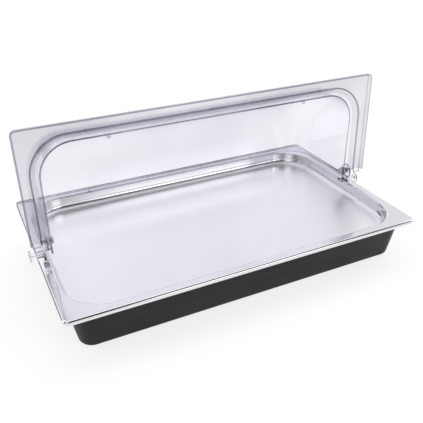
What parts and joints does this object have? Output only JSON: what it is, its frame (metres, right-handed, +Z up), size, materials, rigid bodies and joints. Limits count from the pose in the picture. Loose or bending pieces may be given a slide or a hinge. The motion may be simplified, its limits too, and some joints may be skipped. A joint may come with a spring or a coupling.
{
  "type": "chilled food display pan",
  "caption": "Shallow steel food tray on a black cooling tub, with packs inside and a clear roll-top cover whose front half rolls back over the rear half.",
  "frame": {"origin": "middle of the tub's foot, on the surface that the pan stands on", "axes": "+X along the long side, +Y towards the fixed rear half of the cover, +Z up; the front half of the cover is at rest rolled back, open"},
  "size_m": [0.5462, 0.325, 0.2491],
  "materials": {
    "black_plastic": "satin moulded black",
    "pack_shell": "soft translucent plastic",
    "pack_plug": "moulded blue",
    "steel": "polished rim, satin floor",
    "clear_cover": "clear polycarbonate",
    "clear_bracket": "clear polycarbonate",
    "pin_steel": "turned steel",
    "washer_nylon": "natural nylon"
  },
  "bodies": {
    "base": {"base_tub": "black_plastic"},
    "pack_left": {"cooling_pack_left": "pack_shell", "pack_plug_left": "pack_plug"},
    "pack_right": {"cooling_pack_right": "pack_shell", "pack_plug_right": "pack_plug"},
    "tray": {"steel_tray": "steel"},
    "cover": {"rear_cover": "clear_cover", "hinge_bracket_left": "clear_bracket", "hinge_bracket_right": "clear_bracket", "pivot_pin_left": "pin_steel", "pivot_pin_right": "pin_steel", "hinge_washer_left": "washer_nylon", "hinge_washer_right": "washer_nylon", "pin_cap_left": "washer_nylon", "pin_cap_right": "washer_nylon"},
    "front": {"front_cover": "clear_cover"}
  },
  "joints": [
    {"name": "tray_lift", "type": "slide", "parent": "base", "child": "tray", "axis": [0, 0, 1], "range_m": [0, 0.12]},
    {"name": "pack_left_lift", "type": "slide", "parent": "base", "child": "pack_left", "axis": [0, 0, 1], "range_m": [0, 0.06]},
    {"name": "pack_right_lift", "type": "slide", "parent": "base", "child": "pack_right", "axis": [0, 0, 1], "range_m": [0, 0.06]},
    {"name": "cover_lift", "type": "slide", "parent": "tray", "child": "cover", "axis": [0, 0, 1], "range_m": [0, 0.15]},
    {"name": "front_roll", "type": "hinge", "parent": "cover", "child": "front", "pos_m": [0, -0.006, 0.0835], "axis": [1, 0, 0], "range_deg": [0, 92]}
  ],
  "couplings": [
    {"joint": "pack_left_lift", "follows": "tray_lift", "ratio": 0.5},
    {"joint": "pack_right_lift", "follows": "tray_lift", "ratio": 0.5}
  ]
}
